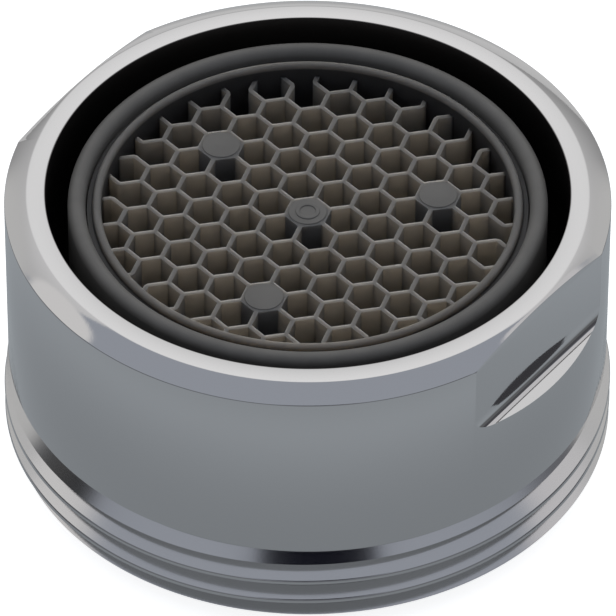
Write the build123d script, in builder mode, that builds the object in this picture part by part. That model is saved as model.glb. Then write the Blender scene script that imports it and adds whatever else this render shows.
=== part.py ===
from build123d import *

import os
from math import atan2, cos, degrees, hypot, pi, radians, sin, sqrt

# Tap aerator with a male thread, standing on its sealing washer with the outlet upwards.
# Water comes in at the bottom through the strainer, is split into jets, draws air in through
# the windows of the sleeve, crosses two mixing grids and leaves through the honeycomb.
# The origin is the centre of the washer's seat face, +Z points out of the outlet and the
# spanner flats face +X and -X. All sizes are in millimetres.

# Thread and housing, from the thread inwards and from the thread end upwards
thread_diameter = 23.9      # crest of the M24 x 1 outside thread
thread_pitch = 1.0
thread_depth_share = 0.6134     # depth of a metric outside thread over its pitch
thread_length = 3.39        # with the chamfers at both ends, both at 45 degrees
relief_length = 0.45        # floor of the groove between the thread and the body
counterbore_wall = 0.69     # brass left between the thread root and the washer's counterbore
shoulder_width = 0.49       # step that the insert is pressed against
rim_wall = 1.6              # wall round the bore at the body
rim_face_width = 0.73       # flat end face at the outlet
rim_chamfer_drop = 0.45
flat_depth = 0.75           # spanner flats, 22 mm across
flat_height = 3.65

# Sealing washer
washer_proud = 0.4          # the washer stands out of the thread end
washer_thickness = 2.0
washer_overlap = 0.4        # the washer's inner edge holds the strainer in the sleeve

# Outlet sleeve, with the strainer and the jet former in its inlet end
air_gap = 0.85              # ring-shaped air intake between the sleeve and the bore
sleeve_wall = 0.7
sleeve_flange_thickness = 1.2
chamber_ledge = 0.7         # inner step that carries the mixing grids
chamber_height = 2.53
window_count = 12
window_width = 2.4
window_land = 0.5           # wall left above and below an air window
lip_recess = 0.38           # the rim stands this far proud of the sleeve's lip

# Strainer, a slotted cone with a flat crown
strainer_flange_thickness = 0.8
strainer_flange_width = 1.05
strainer_wall = 0.5
strainer_recess = 0.3       # the crown lies inside the washer
crown_radius = 4.4
crown_slot_length = 1.0
crown_slot_radius = 1.6     # inner ring of slots in the crown, and its distance to the outer
slot_width = 0.5
slot_spacing = 1.2
cone_slot_land = 0.35       # wall left at both ends of a slot in the cone

# Jet former
jet_flange_thickness = 0.8
jet_plate_rise = 0.5
jet_diameter = 0.9
jet_edge = 1.4              # outer ring of jets, in from the chamber's wall
jet_ring_pitch = 1.9
jet_counts = (12, 6)
hub_radius = 3.0
hub_tip_radius = 0.6
hub_height = 1.1

# Mixing grids
grid_height = 1.0
grid_rim_width = 0.95
grid_bar_width = 0.5
grid_bar_height = 0.6
grid_bar_pitch = 1.25

# Honeycomb outlet
honeycomb_depth = 3.0
cell_pitch = 1.49           # from cell to cell
cell_web = 0.2
cell_direction = 17.6       # a row of cells, in degrees from the flats' direction
ring_width = 0.6
bead_width = 0.26
bead_height = 0.57          # bead above the honeycomb's face
bead_crown = 0.08           # rise of the bead's rounded top
bead_groove_depth = 0.35
lip_above_bead = 0.23
snap_depth = 0.12
snap_width = 0.5
gate_mark_radius = 0.48
gate_mark_width = 0.18
gate_mark_height = 0.04

# Clearances
bore_clearance = 0.1        # flange and washer in the housing, strainer in the washer
insert_clearance = 0.05     # pieces in the sleeve

# Radii that follow
thread_radius = thread_diameter / 2
thread_depth = thread_depth_share * thread_pitch
root_radius = thread_radius - thread_depth
counterbore_radius = root_radius - counterbore_wall
bore_radius = counterbore_radius - shoulder_width
body_radius = bore_radius + rim_wall
rim_face_radius = bore_radius + rim_face_width
flat_distance = body_radius - flat_depth
flange_radius = counterbore_radius - bore_clearance
sleeve_radius = bore_radius - air_gap
sleeve_bore_radius = sleeve_radius - sleeve_wall
insert_radius = sleeve_bore_radius - insert_clearance
chamber_radius = sleeve_bore_radius - chamber_ledge
washer_inner_radius = sleeve_bore_radius - washer_overlap
cone_radius = washer_inner_radius - bore_clearance
strainer_open_radius = insert_radius - strainer_flange_width
ring_inner_radius = sleeve_bore_radius - ring_width

# Heights that follow, up the stack from the washer to the rim
shoulder_z = washer_thickness + sleeve_flange_thickness
jet_flange_z = washer_thickness + strainer_flange_thickness
jet_seat_z = jet_flange_z + jet_flange_thickness
grid_seat_z = jet_seat_z + chamber_height
honeycomb_z = grid_seat_z + 2 * grid_height
honeycomb_top_z = honeycomb_z + honeycomb_depth
bead_top_z = honeycomb_top_z + bead_height
lip_top_z = bead_top_z + lip_above_bead
rim_z = lip_top_z + lip_recess
snap_z = honeycomb_z + honeycomb_depth / 2
thread_top_z = washer_proud + thread_length
body_z = thread_top_z + relief_length

os.makedirs("parts", exist_ok=True)

# Housing: turned brass, with the spanner flats milled from the rim downwards
with BuildPart() as housing:
    with BuildSketch(Plane.XZ):
        with BuildLine():
            Polyline(
                (counterbore_radius, washer_proud),
                (root_radius, washer_proud),
                (thread_radius, washer_proud + thread_depth),
                (thread_radius, thread_top_z - thread_depth),
                (root_radius, thread_top_z),
                (root_radius, body_z),
                (body_radius, body_z),
                (body_radius, rim_z - rim_chamfer_drop),
                (rim_face_radius, rim_z),
                (bore_radius, rim_z),
                (bore_radius, shoulder_z),
                (counterbore_radius, shoulder_z),
                close=True,
            )
        make_face()
    revolve(axis=Axis.Z)
    with BuildSketch(Plane.XY.offset(rim_z)):
        with Locations((flat_distance + flat_depth, 0), (-flat_distance - flat_depth, 0)):
            Rectangle(2 * flat_depth, 2 * body_radius)
    extrude(amount=-flat_height, mode=Mode.SUBTRACT)
housing.part.label = "housing"
export_step(housing.part, "parts/housing.step")

# Sealing washer: a flat rubber ring in the counterbore, under the insert's flange
with BuildPart() as sealing_washer:
    with BuildSketch(Plane.XY):
        Circle(flange_radius)
        Circle(washer_inner_radius, mode=Mode.SUBTRACT)
    extrude(amount=washer_thickness)
sealing_washer.part.label = "sealing_washer"
export_step(sealing_washer.part, "parts/sealing_washer.step")

# Outlet sleeve: flange against the shoulder, air windows round the chamber and a rounded lip
with BuildPart() as outlet_sleeve:
    lip_round = sleeve_wall / 2
    lip_z = lip_top_z - lip_round
    with BuildSketch(Plane.XZ):
        with BuildLine():
            Polyline(
                (sleeve_bore_radius, lip_z),
                (sleeve_bore_radius, snap_z + snap_width / 2),
                (sleeve_bore_radius + snap_depth, snap_z),
                (sleeve_bore_radius, snap_z - snap_width / 2),
                (sleeve_bore_radius, grid_seat_z),
                (chamber_radius, grid_seat_z),
                (chamber_radius, jet_seat_z),
                (sleeve_bore_radius, jet_seat_z),
                (sleeve_bore_radius, washer_thickness),
                (flange_radius, washer_thickness),
                (flange_radius, shoulder_z),
                (sleeve_radius, shoulder_z),
                (sleeve_radius, lip_z),
            )
            ThreePointArc(
                (sleeve_radius, lip_z),
                (sleeve_radius - lip_round, lip_top_z),
                (sleeve_bore_radius, lip_z),
            )
        make_face()
    revolve(axis=Axis.Z)
    with BuildSketch(Plane.XY.offset(jet_seat_z + window_land)):
        with PolarLocations(sleeve_radius, window_count, start_angle=180 / window_count):
            Rectangle(2 * (sleeve_radius - chamber_radius), window_width)
        Circle(chamber_radius - insert_clearance, mode=Mode.SUBTRACT)
    extrude(amount=chamber_height - 2 * window_land, mode=Mode.SUBTRACT)
outlet_sleeve.part.label = "outlet_sleeve"
export_step(outlet_sleeve.part, "parts/outlet_sleeve.step")

# Strainer: a slotted cone whose flange is held between the washer and the jet former
with BuildPart() as strainer:
    cone_slope = (washer_thickness - strainer_recess) / (cone_radius - crown_radius)
    hollow_z = strainer_recess + strainer_wall
    with BuildSketch(Plane.XZ):
        with BuildLine():
            Polyline(
                (0, strainer_recess),
                (crown_radius, strainer_recess),
                (cone_radius, washer_thickness),
                (insert_radius, washer_thickness),
                (insert_radius, jet_flange_z),
                (strainer_open_radius, jet_flange_z),
                (strainer_open_radius, hollow_z + cone_slope * (strainer_open_radius - crown_radius)),
                (crown_radius, hollow_z),
                (0, hollow_z),
                close=True,
            )
        make_face()
    revolve(axis=Axis.Z)
    cone_slot_radius = (crown_radius + strainer_open_radius) / 2
    cone_slot_length = strainer_open_radius - crown_radius - 2 * cone_slot_land
    slot_rings = [
        (crown_slot_radius, crown_slot_length),
        (2 * crown_slot_radius, crown_slot_length),
        (cone_slot_radius, cone_slot_length),
    ]
    with BuildSketch(Plane.XY):
        for ring_radius, slot_length in slot_rings:
            slot_count = int(2 * pi * ring_radius / slot_spacing)
            with PolarLocations(ring_radius, slot_count, start_angle=180 / slot_count):
                Rectangle(slot_length, slot_width)
    extrude(amount=jet_flange_z, mode=Mode.SUBTRACT)
strainer.part.label = "strainer"
export_step(strainer.part, "parts/strainer.step")

# Jet former: a drilled plate with a hub that spreads the water to the jets
with BuildPart() as jet_former:
    jet_top_z = jet_seat_z + jet_plate_rise
    with BuildSketch(Plane.XZ):
        with BuildLine():
            Polyline(
                (0, jet_flange_z - hub_height),
                (hub_tip_radius, jet_flange_z - hub_height),
                (hub_radius, jet_flange_z),
                (insert_radius, jet_flange_z),
                (insert_radius, jet_seat_z),
                (chamber_radius - insert_clearance, jet_seat_z),
                (chamber_radius - insert_clearance, jet_top_z),
                (0, jet_top_z),
                close=True,
            )
        make_face()
    revolve(axis=Axis.Z)
    with BuildSketch(Plane.XY.offset(jet_flange_z)):
        for ring, jet_count in enumerate(jet_counts):
            with PolarLocations(chamber_radius - jet_edge - ring * jet_ring_pitch, jet_count):
                Circle(jet_diameter / 2)
    extrude(amount=jet_top_z - jet_flange_z, mode=Mode.SUBTRACT)
jet_former.part.label = "jet_former"
export_step(jet_former.part, "parts/jet_former.step")

# Mixing grids: two barred rings on the sleeve's ledge, the second turned across the first
grid_places = {"inlet_mixing_grid": (0, 0), "outlet_mixing_grid": (1, 90)}
grid_open_radius = insert_radius - grid_rim_width
for grid_name, (grid_level, grid_turn) in grid_places.items():
    grid_plane = Plane.XY.offset(grid_seat_z + grid_level * grid_height).rotated((0, 0, grid_turn))
    bar_count = int(2 * grid_open_radius / grid_bar_pitch)
    with BuildPart() as mixing_grid:
        with BuildSketch(grid_plane):
            Circle(insert_radius)
            Circle(grid_open_radius, mode=Mode.SUBTRACT)
        extrude(amount=grid_height)
        with BuildSketch(grid_plane):
            with GridLocations(grid_bar_pitch, 0, bar_count, 1):
                Rectangle(grid_bar_width, 2 * insert_radius)
            Circle(grid_open_radius + grid_rim_width / 2, mode=Mode.INTERSECT)
        extrude(amount=grid_bar_height)
    mixing_grid.part.label = grid_name
    export_step(mixing_grid.part, f"parts/{grid_name}.step")

# Honeycomb outlet: places of the cells, as steps along two rows that lie 60 degrees apart
closed_cells = [(0, 0), (2, 2), (-4, 2), (2, -4)]   # centre and the three ejector pads
cell_flat = (cell_pitch - cell_web) / 2
row_angle = radians(cell_direction)
second_row_angle = row_angle + pi / 3


def cell_centre(step, second_step):
    return (
        cell_pitch * (step * cos(row_angle) + second_step * cos(second_row_angle)),
        cell_pitch * (step * sin(row_angle) + second_step * sin(second_row_angle)),
    )


cell_reach = int(2 * ring_inner_radius / (sqrt(3) * cell_pitch)) + 2
cell_steps = range(-cell_reach, cell_reach + 1)
cell_grid = {(step, second): cell_centre(step, second) for step in cell_steps for second in cell_steps}
open_cells = [
    centre
    for place, centre in cell_grid.items()
    if hypot(*centre) <= ring_inner_radius and place not in closed_cells
]

# Where the ring leaves only a sliver of a cell, the sliver opens into the next cell inwards
sliver_cells = [
    centre
    for centre in cell_grid.values()
    if ring_inner_radius < hypot(*centre) < ring_inner_radius + cell_flat - cell_web
]


def inward_link(centre):
    row_turn = round((atan2(centre[1], centre[0]) - row_angle) / (pi / 3))
    link_angle = row_angle + row_turn * pi / 3
    link_centre = (
        centre[0] - cell_pitch / 2 * cos(link_angle),
        centre[1] - cell_pitch / 2 * sin(link_angle),
    )
    return Location((*link_centre, 0), (0, 0, degrees(link_angle)))


with BuildPart() as honeycomb_outlet:
    bead_side_z = bead_top_z - bead_crown
    groove_z = bead_top_z - bead_groove_depth
    with BuildSketch(Plane.XZ):
        with BuildLine():
            ThreePointArc(
                (ring_inner_radius, bead_side_z),
                (ring_inner_radius + bead_width / 2, bead_top_z),
                (ring_inner_radius + bead_width, bead_side_z),
            )
            Polyline(
                (ring_inner_radius + bead_width, bead_side_z),
                (ring_inner_radius + bead_width, groove_z),
                (insert_radius, groove_z),
                (insert_radius, snap_z + snap_width / 2),
                (insert_radius + snap_depth, snap_z),
                (insert_radius, snap_z - snap_width / 2),
                (insert_radius, honeycomb_z),
                (0, honeycomb_z),
                (0, honeycomb_top_z),
                (ring_inner_radius, honeycomb_top_z),
                (ring_inner_radius, bead_side_z),
            )
        make_face()
    revolve(axis=Axis.Z)
    with BuildSketch(Plane.XY.offset(honeycomb_z)):
        with Locations(*open_cells, *sliver_cells):
            RegularPolygon(cell_flat, 6, major_radius=False, rotation=cell_direction + 30)
        with Locations(*[inward_link(centre) for centre in sliver_cells]):
            Rectangle(cell_pitch, 2 * cell_flat / sqrt(3))
        Circle(ring_inner_radius, mode=Mode.INTERSECT)
    extrude(amount=honeycomb_depth, mode=Mode.SUBTRACT)
    with BuildSketch(Plane.XY.offset(honeycomb_top_z)):
        Circle(gate_mark_radius)
        Circle(gate_mark_radius - gate_mark_width, mode=Mode.SUBTRACT)
    extrude(amount=gate_mark_height)
honeycomb_outlet.part.label = "honeycomb_outlet"
export_step(honeycomb_outlet.part, "parts/honeycomb_outlet.step")
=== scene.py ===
import math

import bmesh
import bpy
from mathutils import Matrix, Vector


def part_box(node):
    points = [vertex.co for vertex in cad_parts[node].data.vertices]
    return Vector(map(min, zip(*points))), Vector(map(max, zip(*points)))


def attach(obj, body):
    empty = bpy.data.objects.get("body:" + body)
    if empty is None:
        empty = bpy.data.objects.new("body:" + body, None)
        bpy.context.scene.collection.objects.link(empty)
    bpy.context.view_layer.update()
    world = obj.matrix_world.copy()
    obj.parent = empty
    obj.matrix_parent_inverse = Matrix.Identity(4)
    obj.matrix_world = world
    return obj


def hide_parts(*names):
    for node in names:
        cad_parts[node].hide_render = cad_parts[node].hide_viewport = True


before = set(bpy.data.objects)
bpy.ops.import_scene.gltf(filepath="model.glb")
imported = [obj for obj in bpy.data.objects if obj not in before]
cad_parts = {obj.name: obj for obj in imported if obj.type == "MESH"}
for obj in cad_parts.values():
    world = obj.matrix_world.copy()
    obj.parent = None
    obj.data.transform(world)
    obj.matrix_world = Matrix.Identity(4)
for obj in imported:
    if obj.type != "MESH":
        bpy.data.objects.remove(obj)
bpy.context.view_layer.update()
mm = 0.001  # pieces are modelled in millimetres and brought to metres at the end
print("frame loaded:", len(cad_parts), "nodes")


def nodeSize(node):  # reach from the axis, lowest and highest point of a node, in millimetres
    low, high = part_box(node)
    return high.x / mm, low.z / mm, high.z / mm


# modelling helpers


def drawProfile(bm, corners):  # closed wire in the XZ plane; a corner's third number rounds it
    verts = [bm.verts.new((corner[0], 0, corner[1])) for corner in corners]
    edges = [bm.edges.new(pair) for pair in zip(verts, verts[1:] + verts[:1])]
    return verts, edges


def roundCorners(bm, verts, corners, segments):
    for width in sorted({corner[2] for corner in corners if len(corner) == 3}):
        picked = [v for v, corner in zip(verts, corners) if len(corner) == 3 and corner[2] == width]
        bmesh.ops.bevel(bm, geom=picked, offset=width, offset_type="OFFSET", affect="VERTICES",
                        segments=segments, profile=0.5, material=-1)


def turnRing(corners, steps, segments=3):  # a turned ring from its section
    bm = bmesh.new()
    verts, edges = drawProfile(bm, corners)
    roundCorners(bm, verts, corners, segments)
    bmesh.ops.spin(bm, geom=bm.verts[:] + bm.edges[:], cent=(0, 0, 0), axis=(0, 0, 1),
                   angle=2 * math.pi, steps=steps, use_merge=True)
    closeUp(bm)
    return bm


def addRing(bm, corners, centre):  # a small turned detail, set into a piece under way
    mesh = bpy.data.meshes.new("detail")
    ring = turnRing(corners, 48)
    bmesh.ops.translate(ring, verts=ring.verts[:], vec=(*centre, 0))
    ring.to_mesh(mesh)
    ring.free()
    bm.from_mesh(mesh)
    bpy.data.meshes.remove(mesh)


def closeUp(bm):
    bmesh.ops.remove_doubles(bm, verts=bm.verts[:], dist=1e-5)
    bmesh.ops.recalc_face_normals(bm, faces=bm.faces[:])


def toObject(bm, name):
    mesh = bpy.data.meshes.new(name)
    bm.to_mesh(mesh)
    bm.free()
    made = bpy.data.objects.new(name, mesh)
    bpy.context.scene.collection.objects.link(made)
    return made


def cutWith(base, cutter, operation="DIFFERENCE"):  # boolean, applied at once
    change = base.modifiers.new("cut", "BOOLEAN")
    change.operation = operation
    change.solver = "EXACT"
    change.object = cutter
    bpy.context.view_layer.update()
    done = bpy.data.meshes.new_from_object(base.evaluated_get(bpy.context.evaluated_depsgraph_get()))
    base.modifiers.clear()
    old, base.data = base.data, done
    bpy.data.meshes.remove(old)
    cutterMesh = cutter.data
    bpy.data.objects.remove(cutter)
    bpy.data.meshes.remove(cutterMesh)


def soften(piece, width, wanted, segments=2):  # break the sharp outer edges that are wanted
    bm = bmesh.new()
    bm.from_mesh(piece.data)
    bmesh.ops.remove_doubles(bm, verts=bm.verts[:], dist=1e-4)
    outer = [e for e in bm.edges if len(e.link_faces) == 2 and e.is_convex and wanted(e)]
    sharp = [e for e in outer if e.calc_face_angle(0) > 0.6]
    bmesh.ops.bevel(bm, geom=sharp, offset=width, offset_type="OFFSET", affect="EDGES",
                    segments=segments, profile=0.5, material=-1, clamp_overlap=True)
    bm.to_mesh(piece.data)
    bm.free()


def finishPiece(piece, node, material, crease=30):  # metres, smooth shading, then the frame
    piece.data.transform(Matrix.Scale(mm, 4))
    piece.data.shade_smooth()
    piece.data.set_sharp_from_angle(angle=math.radians(crease))
    piece.data.materials.clear()
    piece.data.materials.append(material)
    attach(piece, "root")
    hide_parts(node)
    print(piece.name, "has", len(piece.data.polygons), "faces")


# shader helpers


class Wire:  # a socket that can be used in sums

    def __init__(self, tree, socket=None):
        self.tree = tree
        self.socket = socket

    def node(self, kind, settings=None, sockets=None, out=0):
        made = self.tree.nodes.new(kind)
        for name, value in (settings or {}).items():
            setattr(made, name, value)
        for name, value in (sockets or {}).items():
            if isinstance(value, Wire):
                self.tree.links.new(value.socket, made.inputs[name])
            else:
                made.inputs[name].default_value = value
        return Wire(self.tree, made.outputs[out] if made.outputs else None)

    def maths(self, operation, first, second=0.0):
        return self.node("ShaderNodeMath", {"operation": operation}, {0: first, 1: second})

    def __add__(self, other):
        return self.maths("ADD", self, other)

    def __sub__(self, other):
        return self.maths("SUBTRACT", self, other)

    def __rsub__(self, other):
        return self.maths("SUBTRACT", other, self)

    def __mul__(self, other):
        return self.maths("MULTIPLY", self, other)

    def __truediv__(self, other):
        return self.maths("DIVIDE", self, other)

    __radd__ = __add__
    __rmul__ = __mul__

    def between(self, low, high):  # 0 below low, 1 above high, smooth in the middle
        return self.node("ShaderNodeMapRange", {"interpolation_type": "SMOOTHSTEP"},
                         {"Value": self, "From Min": low, "From Max": high})


def newMaterial(name):
    material = bpy.data.materials.new(name)
    material.use_nodes = True
    material.node_tree.nodes.clear()
    start = Wire(material.node_tree)
    place = start.node("ShaderNodeTexCoord", out="Object")
    return material, start, place


def shade(start, sockets):
    shader = start.node("ShaderNodeBsdfPrincipled", sockets=sockets)
    start.node("ShaderNodeOutputMaterial", sockets={"Surface": shader})


def mixColours(start, mask, first, second):
    return start.node("ShaderNodeMix", {"data_type": "RGBA"}, {"Factor": mask, 6: first, 7: second}, out=2)


def noise(start, place, scale, detail=3.0, roughness=0.5):  # scale in ripples per millimetre
    return start.node("ShaderNodeTexNoise", sockets={
        "Vector": place, "Scale": scale / mm, "Detail": detail, "Roughness": roughness}, out="Fac")


def fromAxis(start, place):  # distance from the part's axis, in millimetres
    flat = start.node("ShaderNodeVectorMath", {"operation": "MULTIPLY"}, {0: place, 1: (1, 1, 0)})
    return start.node("ShaderNodeVectorMath", {"operation": "LENGTH"}, {0: flat}, out="Value") / mm


# finishes

chromeLook = {
    "colour": (0.555, 0.55, 0.553, 1),
    # bore colour: painted shade, the bore wall darkened for the shade in the gap round the outlet
    "bore": (0.10, 0.095, 0.095, 1),
    "boreEdge": (10.17, 10.22),   # from the axis; inside it the bore wall is painted dark, painted shade of the narrow gap, and made rougher
    "threadEdge": (4.0, 4.3),     # height; the thread below is left as turned, the body is polished
    "roughness": 0.045,
    "boreRoughness": 0.25,
    "threadRoughness": 0.12,
}


def chromePlating():
    material, start, place = newMaterial("chromed brass")
    cloud = noise(start, place, 0.35, 4)
    grain = noise(start, place, 9.0, 2)
    # inside the bore radius the colour is painted dark (painted shade) and the roughness rises
    boreShadeAndRough = 1 - fromAxis(start, place).between(*chromeLook["boreEdge"])
    height = start.node("ShaderNodeSeparateXYZ", sockets={0: place}, out="Z") / mm
    turned = 1 - height.between(*chromeLook["threadEdge"])
    colour = mixColours(start, boreShadeAndRough, chromeLook["colour"], chromeLook["bore"])
    roughness = chromeLook["roughness"] + cloud.between(0.45, 0.75) * 0.03 + grain * 0.01
    roughness = roughness + boreShadeAndRough * chromeLook["boreRoughness"] + turned * chromeLook["threadRoughness"]
    bump = start.node("ShaderNodeBump", sockets={"Strength": 0.02, "Distance": 0.02 * mm, "Height": grain})
    shade(start, {"Base Color": colour, "Metallic": 1.0, "Roughness": roughness, "Normal": bump})
    return material


plasticLook = {"solid": (0.128, 0.124, 0.117, 1), "solidPale": (0.145, 0.14, 0.132, 1),
               "web": (0.118, 0.115, 0.111, 1), "webPale": (0.134, 0.131, 0.127, 1),
               "shadow": (0.03, 0.029, 0.03, 1), "depth": 1.25 * mm}


def greyPlastic():
    material, start, place = newMaterial("grey plastic")
    cloud = noise(start, place, 0.8, 3)
    grain = noise(start, place, 14.0, 2)
    colour = mixColours(start, cloud.between(0.35, 0.7), plasticLook["solid"], plasticLook["solidPale"])
    bump = start.node("ShaderNodeBump", sockets={"Strength": 0.12, "Distance": 0.02 * mm, "Height": grain})
    shade(start, {"Base Color": colour, "Roughness": 0.5 + grain * 0.12, "Normal": bump})
    return material


def webPlastic(opening, ringTop):  # light passes through the thin webs; the inner wall of the ring round them is painted near black, painted shade
    material, start, place = newMaterial("grey plastic, thin")
    cloud = noise(start, place, 0.8, 3)
    grain = noise(start, place, 14.0, 2)
    colour = mixColours(start, cloud.between(0.35, 0.7), plasticLook["web"], plasticLook["webPale"])
    height = start.node("ShaderNodeSeparateXYZ", sockets={0: place}, out="Z") / mm
    # the ring's inner wall below its top takes the shadow colour: painted shade
    ring = fromAxis(start, place).between(opening - 0.1, opening - 0.02)
    ring = ring * (1 - height.between(ringTop - 0.1, ringTop))
    colour = mixColours(start, ring, colour, plasticLook["shadow"])
    bump = start.node("ShaderNodeBump", sockets={"Strength": 0.12, "Distance": 0.02 * mm, "Height": grain})
    shade(start, {"Base Color": colour, "Roughness": 0.5 + grain * 0.12, "Normal": bump,
                  "Subsurface Weight": 1.0, "Subsurface Radius": (1.0, 0.89, 0.75),
                  "Subsurface Scale": plasticLook["depth"]})
    return material


def palePlastic():
    material, start, place = newMaterial("strainer plastic")
    cloud = noise(start, place, 0.6, 3)
    grain = noise(start, place, 12.0, 2)
    colour = mixColours(start, cloud.between(0.35, 0.7), (0.56, 0.57, 0.57, 1), (0.64, 0.65, 0.64, 1))
    bump = start.node("ShaderNodeBump", sockets={"Strength": 0.1, "Distance": 0.02 * mm, "Height": grain})
    shade(start, {"Base Color": colour, "Roughness": 0.42 + grain * 0.12, "Normal": bump})
    return material


def washerRubber():
    material, start, place = newMaterial("washer rubber")
    cloud = noise(start, place, 1.2, 4)
    grain = noise(start, place, 16.0, 2)
    colour = mixColours(start, cloud.between(0.3, 0.7), (0.022, 0.022, 0.023, 1), (0.035, 0.035, 0.036, 1))
    bump = start.node("ShaderNodeBump", sockets={"Strength": 0.25, "Distance": 0.03 * mm, "Height": grain})
    shade(start, {"Base Color": colour, "Roughness": 0.62 + cloud * 0.15, "Normal": bump})
    return material


chrome = chromePlating()
plastic = greyPlastic()
paleMoulding = palePlastic()
rubber = washerRubber()
print("finishes ready")

# housing: turned ring, then the thread and the spanner flats are cut into it

crestRadius, threadEnd, rimTop = nodeSize("housing")
housing = {
    "steps": 240,
    "pitch": 1.0,
    "threadDepth": 0.6134,
    "threadLength": 3.39,
    "reliefLength": 0.45,
    "counterboreWall": 0.69,
    "shoulderWidth": 0.49,
    "shoulderHeight": 3.2,
    "rimWall": 1.6,
    "rimFace": 0.73,
    "rimChamferDrop": 0.45,
    "flatDepth": 0.75,
    "flatHeight": 3.65,
    "flatFoot": [         # section at the foot of a flat, out from the flat and up from the ledge
        (0, 0.62), (0.02, 0.42), (0.05, 0.28), (0.1, 0.17), (0.17, 0.08), (0.24, 0.03), (0.29, 0.008),
        (0.305, -0.05), (0.32, -0.05), (0.34, 0)],
    "ledgeFall": 0.325,   # slope of the ledge below it
    "edgeBreak": 0.04,
    "rootFlat": 0.107,    # width of a thread groove at its bottom
    "grooveSide": [       # depth below the crest, and lean of the stretch that ends there
        (0.045, 30), (0.035, 30), (0.015, 47), (-0.012, 64)],
    "grooveStart": -0.681,  # height of the groove's middle on the +X side, below the thread end
    "grooveTurns": 4.43,
    "runOut": 0.12,       # share of a turn in which the cutter lifts out
}


def makeHousing():
    s = housing
    root = crestRadius - s["threadDepth"]
    counterbore = root - s["counterboreWall"]
    bore = counterbore - s["shoulderWidth"]
    body = bore + s["rimWall"]
    threadTop = threadEnd + s["threadLength"]
    bodyLow = threadTop + s["reliefLength"]
    edge = s["edgeBreak"]
    ring = toObject(turnRing([
        (counterbore, threadEnd, edge),
        (root, threadEnd, edge),
        (crestRadius, threadEnd + s["threadDepth"]),
        (crestRadius, threadTop - s["threadDepth"], edge),
        (root, threadTop),
        (root, bodyLow),
        (body, bodyLow, edge),
        (body, rimTop - s["rimChamferDrop"], edge),
        (bore + s["rimFace"], rimTop, edge),
        (bore, rimTop, edge),
        (bore, s["shoulderHeight"]),
        (counterbore, s["shoulderHeight"]),
    ], s["steps"]), "housing_chromed")

    bm = bmesh.new()
    half = s["rootFlat"] / 2
    side = [(root, half)]
    for depth, lean in s["grooveSide"]:
        reach = crestRadius - depth
        half += (reach - side[-1][0]) * math.tan(math.radians(lean))
        side.append((reach, half))
    middle = s["grooveStart"]
    drawProfile(bm, [(r, middle - h) for r, h in reversed(side)] + [(r, middle + h) for r, h in side])
    firstFace = bmesh.ops.contextual_create(bm, geom=bm.edges[:])["faces"]
    turnSteps = round(s["grooveTurns"] * s["steps"])
    bmesh.ops.spin(bm, geom=bm.verts[:] + bm.edges[:] + firstFace, cent=(0, 0, 0), axis=(0, 0, 1),
                   dvec=(0, 0, s["pitch"] / s["steps"]), angle=2 * math.pi * turnSteps / s["steps"],
                   steps=turnSteps, use_merge=False)
    lastTurn = turnSteps / s["steps"]
    for v in bm.verts:  # the last stretch lifts out of the metal
        share = (math.atan2(v.co.y, v.co.x) / (2 * math.pi)) % 1.0
        turn = share + round((v.co.z - s["grooveStart"]) / s["pitch"] - share)
        lift = max(0.0, (turn - lastTurn + s["runOut"]) / s["runOut"]) * s["threadDepth"]
        reach = math.hypot(v.co.x, v.co.y)
        v.co.x *= (reach + lift) / reach
        v.co.y *= (reach + lift) / reach
    closeUp(bm)
    cutWith(ring, toObject(bm, "thread_cutter"))

    flatCutter = bmesh.new()
    flat = body - s["flatDepth"]
    ledge = rimTop - s["flatHeight"]
    fall = s["ledgeFall"] * (body + 1 - flat - s["flatFoot"][-1][0])
    outline = [(flat + out, ledge + up) for out, up in s["flatFoot"]]
    outline += [(body + 1, ledge - fall), (body + 1, rimTop + 1), (flat, rimTop + 1)]
    for mirror in (1, -1):
        edges = drawProfile(flatCutter, [(mirror * x, z) for x, z in outline])[1]
        bmesh.ops.contextual_create(flatCutter, geom=edges)
    bmesh.ops.translate(flatCutter, verts=flatCutter.verts[:], vec=(0, -body, 0))
    raised = bmesh.ops.extrude_face_region(flatCutter, geom=flatCutter.faces[:])["geom"]
    far = [g for g in raised if isinstance(g, bmesh.types.BMVert)]
    bmesh.ops.translate(flatCutter, verts=far, vec=(0, 2 * body, 0))
    closeUp(flatCutter)
    cutWith(ring, toObject(flatCutter, "flat_cutter"))
    soften(ring, edge, lambda e: all(v.co.z > rimTop - 0.5 and abs(v.co.x) > flat - 0.02 for v in e.verts))
    finishPiece(ring, "housing", chrome, crease=19)


makeHousing()

# sealing washer: a flat ring with softened edges

washerRadius, washerLow, washerHigh = nodeSize("sealing_washer")
washer = {"width": 2.34, "softEdge": 0.18, "steps": 160}


def makeWasher():
    inner = washerRadius - washer["width"]
    soft = washer["softEdge"]
    ring = turnRing([(inner, washerLow, soft), (washerRadius, washerLow, soft),
                     (washerRadius, washerHigh, soft), (inner, washerHigh, soft)], washer["steps"], 4)
    finishPiece(toObject(ring, "washer_moulded"), "sealing_washer", rubber)


makeWasher()

# outlet sleeve: moulded ring with a rounded lip and air windows

flangeRadius, sleeveLow, lipTop = nodeSize("outlet_sleeve")
sleeve = {
    "steps": 200,
    "reach": 9.3066,
    "wall": 0.7,
    "flange": 1.2,
    "ledge": 0.7,
    "jetSeat": 3.6,
    "chamber": 2.53,
    "windows": 12,
    "windowWidth": 2.4,
    "windowLand": 0.5,
    "edgeBreak": 0.06,
}


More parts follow.
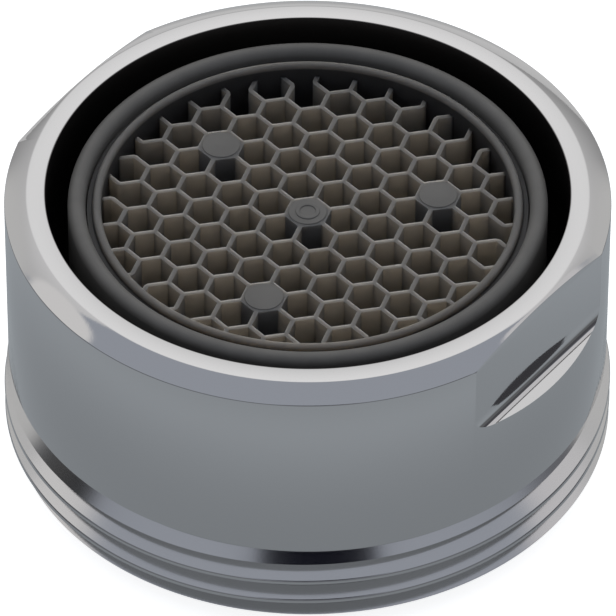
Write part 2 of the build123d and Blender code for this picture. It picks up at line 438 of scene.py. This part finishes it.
def makeSleeve():
    s = sleeve
    bore = s["reach"] - s["wall"]
    chamber = bore - s["ledge"]
    gridSeat = s["jetSeat"] + s["chamber"]
    edge = s["edgeBreak"]
    lip = s["wall"] / 2 - 0.001
    ring = toObject(turnRing([
        (bore, lipTop, lip),
        (bore, gridSeat),
        (chamber, gridSeat, edge),
        (chamber, s["jetSeat"], edge),
        (bore, s["jetSeat"]),
        (bore, sleeveLow),
        (flangeRadius, sleeveLow, edge),
        (flangeRadius, sleeveLow + s["flange"], edge),
        (s["reach"], sleeveLow + s["flange"]),
        (s["reach"], lipTop, lip),
    ], s["steps"], 8), "sleeve_moulded")
    bm = bmesh.new()
    tall = s["chamber"] - 2 * s["windowLand"]
    for count in range(s["windows"]):
        made = bmesh.ops.create_cube(bm, size=1.0)["verts"]
        bmesh.ops.scale(bm, verts=made, vec=(2.2 * (s["reach"] - chamber), s["windowWidth"], tall))
        middle = ((s["reach"] + chamber) / 2, 0, s["jetSeat"] + s["chamber"] / 2)
        bmesh.ops.translate(bm, verts=made, vec=middle)
        turn = Matrix.Rotation(2 * math.pi * (count + 0.5) / s["windows"], 3, "Z")
        bmesh.ops.rotate(bm, verts=made, cent=(0, 0, 0), matrix=turn)
    cutWith(ring, toObject(bm, "window_cutter"))
    finishPiece(ring, "outlet_sleeve", plastic)


makeSleeve()

# honeycomb outlet: a moulded disc with a bead round it, cells cut through it, pads on the filled ones

honeycombLow, beadTop = nodeSize("honeycomb_outlet")[1:]
honeycomb = {
    "steps": 200,
    "hub": 0.4,           # the turned blank starts here, its middle is filled afterwards
    "depth": 3.0,
    "pitch": 1.49,
    "web": 0.17,
    "rowTurn": 17.6,      # degrees from the flats' direction to a row of cells
    "closed": [(0, 0), (2, 2), (-4, 2), (2, -4)],
    "opening": 8.0066,    # radius of the ring round the cells
    "reach": 8.5566,
    "beadWidth": 0.33,
    "beadRound": 0.15,
    "grooveDepth": 0.3,
    "snap": 0.12,
    "snapWidth": 0.5,
    "webRound": 0.07,
    "padRadius": 0.75,
    "padHeight": 0.03,
    "gateRadius": 0.48,
    "gateWidth": 0.18,
    "gateHeight": 0.04,
}


def cellPlaces():
    s = honeycomb
    rowTurn = math.radians(s["rowTurn"])
    rows = [Matrix.Rotation(rowTurn + k * math.pi / 3, 2) @ Vector((s["pitch"], 0)) for k in range(2)]
    reach = range(-8, 9)
    return {(a, b): a * rows[0] + b * rows[1] for a in reach for b in reach}


def addCell(bm, centre):  # a flat six-sided face
    s = honeycomb
    corner = (s["pitch"] - s["web"]) / 2 / math.cos(math.pi / 6)
    place = Matrix.Translation((*centre, 0)) @ Matrix.Rotation(math.radians(s["rowTurn"]), 4, "Z")
    bmesh.ops.create_circle(bm, cap_ends=True, segments=6, radius=corner, matrix=place)


def raiseCells(bm, low, high):  # the flat faces become cutters
    bmesh.ops.recalc_face_normals(bm, faces=bm.faces[:])
    raised = bmesh.ops.extrude_face_region(bm, geom=bm.faces[:])["geom"]
    tall = [g for g in raised if isinstance(g, bmesh.types.BMVert)]
    bmesh.ops.translate(bm, verts=tall, vec=(0, 0, high - low))
    bmesh.ops.translate(bm, verts=bm.verts[:], vec=(0, 0, low))
    closeUp(bm)


def openCells(bm):  # where the ring leaves only a sliver of a cell, it joins the next cell inwards
    s = honeycomb
    rowTurn = math.radians(s["rowTurn"])
    edge = s["opening"] + s["pitch"] / 2 - 1.5 * s["web"]
    joints = []
    for place, centre in cellPlaces().items():
        if place in s["closed"] or centre.length > edge:
            continue
        addCell(bm, centre)
        if centre.length > s["opening"]:
            step = round((math.atan2(centre.y, centre.x) - rowTurn) / (math.pi / 3))
            inwards = Matrix.Rotation(rowTurn + step * math.pi / 3, 2) @ Vector((s["pitch"], 0))
            joints.append(centre - inwards / 2)
    for joint in joints:
        aim = joint.to_3d()
        near = sorted(bm.edges, key=lambda e: ((e.verts[0].co + e.verts[1].co) / 2 - aim).length)[:2]
        bmesh.ops.contextual_create(bm, geom=[v for e in near for v in e.verts])


def makeHoneycomb():
    s = honeycomb
    top = honeycombLow + s["depth"]
    groove = beadTop - s["grooveDepth"]
    snapMiddle = honeycombLow + s["depth"] / 2
    opening = s["opening"]
    bead = s["beadWidth"]
    blankBm = turnRing([
        (s["hub"], honeycombLow),
        (s["hub"], top),
        (opening, top),
        (opening, beadTop, s["beadRound"]),
        (opening + bead, beadTop, s["beadRound"]),
        (opening + bead, groove, 0.08),
        (s["reach"], groove),
        (s["reach"], snapMiddle + s["snapWidth"] / 2),
        (s["reach"] + s["snap"], snapMiddle, 0.05),
        (s["reach"], snapMiddle - s["snapWidth"] / 2),
        (s["reach"], honeycombLow),
    ], s["steps"], 4)
    hub = [f for f in blankBm.faces if all(v.co.xy.length < s["hub"] + 0.01 for v in f.verts)]
    bmesh.ops.delete(blankBm, geom=hub, context="FACES")
    bmesh.ops.holes_fill(blankBm, edges=[e for e in blankBm.edges if e.is_boundary], sides=0)
    bmesh.ops.recalc_face_normals(blankBm, faces=blankBm.faces[:])
    blank = toObject(blankBm, "honeycomb_moulded")

    bm = bmesh.new()
    openCells(bm)
    raiseCells(bm, honeycombLow - 1, top + 1)
    cells = toObject(bm, "cell_cutter")
    limit = bmesh.new()
    bmesh.ops.create_cone(limit, cap_ends=True, segments=s["steps"], radius1=opening, radius2=opening,
                          depth=s["depth"] + 6, matrix=Matrix.Translation((0, 0, top)))
    cutWith(cells, toObject(limit, "cell_limit"), "INTERSECT")
    cutWith(blank, cells)
    soften(blank, s["webRound"], lambda e: all(abs(v.co.z - top) < 1e-3 for v in e.verts), 4)
    finishPiece(blank, "honeycomb_outlet", webPlastic(opening, beadTop - 0.15), crease=35)

    pads = bmesh.new()
    padTop = top + s["padHeight"]
    padLow = honeycombLow + 1
    padSection = [
        (0, padLow),
        (s["padRadius"] - s["web"], padLow),
        (s["padRadius"], top),
        (s["padRadius"], padTop, s["padHeight"]),
        (0, padTop),
    ]
    for place in s["closed"]:
        addRing(pads, padSection, cellPlaces()[place])
    gate = s["gateRadius"] - s["gateWidth"]
    gateLow = top - 0.1
    gateTop = padTop + s["gateHeight"]
    addRing(pads, [
        (gate, gateLow),
        (s["gateRadius"], gateLow),
        (s["gateRadius"], gateTop, s["gateHeight"]),
        (gate, gateTop, s["gateHeight"]),
    ], Vector((0, 0)))
    finishPiece(toObject(pads, "honeycomb_pads"), "honeycomb_outlet", plastic, crease=35)


makeHoneycomb()

# inner pieces keep their solids and get their finish

for node in ("strainer", "jet_former", "inlet_mixing_grid", "outlet_mixing_grid"):
    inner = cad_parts[node]
    inner.data.materials.clear()
    inner.data.materials.append(paleMoulding)
print("inner pieces finished")

# camera, as the photo was taken

camera = {"azimuth": 36.47, "elevation": 42.67, "distance": 316.1, "aim": 6.05, "lens": 471.26,
          "roll": 0.162, "shift": 0.0009}


def compass(azimuth, elevation):  # direction towards a place round the object, in degrees
    a, e = math.radians(azimuth), math.radians(elevation)
    return Vector((math.sin(a) * math.cos(e), -math.cos(a) * math.cos(e), math.sin(e)))


def makeCamera():
    data = bpy.data.cameras.new("camera")
    data.lens = camera["lens"]
    data.sensor_width = 36
    data.shift_x = camera["shift"]
    data.clip_start, data.clip_end = 0.01, 20
    made = bpy.data.objects.new("camera", data)
    bpy.context.scene.collection.objects.link(made)
    back = compass(camera["azimuth"], camera["elevation"])
    made.location = Vector((0, 0, camera["aim"] * mm)) + back * camera["distance"] * mm
    look = (-back).to_track_quat("-Z", "Y")
    made.rotation_mode = "QUATERNION"
    made.rotation_quaternion = look @ Matrix.Rotation(math.radians(camera["roll"]), 4, "Z").to_quaternion()
    bpy.context.scene.camera = made


makeCamera()

# stage: pale floor, a grey card that only reflections see, soft studio light all round

stage = {
    "floor": (0.86, 0.86, 0.86, 1),
    "floorGlow": 0.8,
    "size": 4.0,
    "gap": 0.02 * mm,     # keeps the floor clear of the washer's face
    "nearShadowTone": (0.317, 0.342, 0.364, 1),  # floor in reflections beside the part, darker: painted shadow of the part on the floor
    "midTone": (0.427, 0.461, 0.49, 1),
    "midReach": (13.0, 27.0),  # from the axis, where one tone goes over into the next
    "farTone": (0.17, 0.175, 0.18, 1),
    "farReach": (24.0, 60.0),
    "backTone": (0.74, 0.74, 0.74, 1),
    "backReach": (15.0, 70.0),
    "backShare": (0.3, 0.7),   # how straight behind the part
}


def makeFloor(name):
    bm = bmesh.new()
    bmesh.ops.create_grid(bm, x_segments=1, y_segments=1, size=stage["size"] / 2,
                          matrix=Matrix.Translation((0, 0, -stage["gap"])))
    made = toObject(bm, name)
    material, start, place = newMaterial(name)
    made.data.materials.append(material)
    return made, start, place


floor, start, place = makeFloor("floor")
floor.visible_glossy = False
shade(start, {"Base Color": stage["floor"], "Roughness": 0.9, "Specular IOR Level": 0.0,
              "Emission Color": (1, 1, 1, 1), "Emission Strength": stage["floorGlow"]})

card, start, place = makeFloor("floor_card")
card.visible_camera = card.visible_diffuse = card.visible_shadow = card.visible_transmission = False
away = start.node("ShaderNodeVectorMath", {"operation": "LENGTH"}, {0: place}, out="Value") / mm
behind = start.node("ShaderNodeVectorMath", {"operation": "DOT_PRODUCT"},
                    {0: place, 1: compass(camera["azimuth"] + 180, 0)}, out="Value") / mm
# beside the part the reflected floor is darker: painted shadow
tone = mixColours(start, away.between(*stage["midReach"]), stage["nearShadowTone"], stage["midTone"])
tone = mixColours(start, away.between(*stage["farReach"]), tone, stage["farTone"])
atBack = behind.between(*stage["backReach"]) * (behind / away).between(*stage["backShare"])
tone = mixColours(start, atBack, tone, stage["backTone"])
shade(start, {"Base Color": (0, 0, 0, 1), "Roughness": 1.0, "Specular IOR Level": 0.0,
              "Emission Color": tone, "Emission Strength": 1.0})

studio = {
    "softbox": (180, 43),       # azimuth from the camera and elevation of its brightest spot
    "softboxReach": (180, 33, 48.5, 2),  # middle of the panel, half width and softness
    "softboxFall": (1.25, -0.12),  # brightness by the angle to that spot, then by height
    "softboxRise": (0.66, 0.55),
    "ceiling": (0.45, 0.48, 0.54),
    "wall": (0.16, 0.165, 0.18),
    "wallTop": (0.2, 0.6),      # height, as a sine, over which the wall turns into the ceiling
    "cards": [                  # azimuth from the camera, elevation, half width, softness, colour
        (4.5, 46, 15.5, 2.5, (0.0, 0.0, 0.005)),
        (-108, 39, 10, 2.5, (0.95, 0.94, 0.93)),
        (107, 39, 10, 3, (0.85, 0.84, 0.85)),
        (-127, 14, 12, 10, (0.75, 0.75, 0.74)),
        (127, 14, 12, 10, (0.75, 0.75, 0.74)),
        (-96, 23, 1, 16, (0.07, 0.07, 0.07)),
        (-89, 28, 2, 5, (0.02, 0.02, 0.02)),
        (91, 6, 6, 20, (0.1, 0.1, 0.11)),
    ],
}


def makeStudio():
    s = studio
    world = bpy.data.worlds.new("studio")
    bpy.context.scene.world = world
    world.use_nodes = True
    world.node_tree.nodes.clear()
    start = Wire(world.node_tree)
    way = start.node("ShaderNodeTexCoord", out="Generated")
    high = start.node("ShaderNodeSeparateXYZ", sockets={0: way}, out="Z")

    def towards(azimuth, elevation):  # cosine of the angle to a place in the studio
        place = compass(camera["azimuth"] + azimuth, elevation)
        return start.node("ShaderNodeVectorMath", {"operation": "DOT_PRODUCT"},
                          {0: way, 1: place}, out="Value")

    def patch(azimuth, elevation, half, soft):
        inner, outer = math.cos(math.radians(half)), math.cos(math.radians(half + soft))
        return towards(azimuth, elevation).between(outer, inner)

    fall, least = s["softboxFall"]
    rise, low = s["softboxRise"]
    light = (towards(*s["softbox"]) * fall + least) * (high * rise + low)
    panel = start.node("ShaderNodeCombineXYZ", sockets={0: light, 1: light, 2: light})
    colour = mixColours(start, high.between(*s["wallTop"]), (*s["wall"], 1), (*s["ceiling"], 1))
    colour = mixColours(start, patch(*s["softboxReach"]), colour, panel)
    for azimuth, elevation, half, soft, shown in s["cards"]:
        colour = mixColours(start, patch(azimuth, elevation, half, soft), colour, (*shown, 1))
    sky = start.node("ShaderNodeBackground", sockets={"Color": colour, "Strength": 1.0})
    start.node("ShaderNodeOutputWorld", sockets={"Surface": sky})


makeStudio()
bpy.context.scene.view_settings.view_transform = "Standard"
print("stage ready")
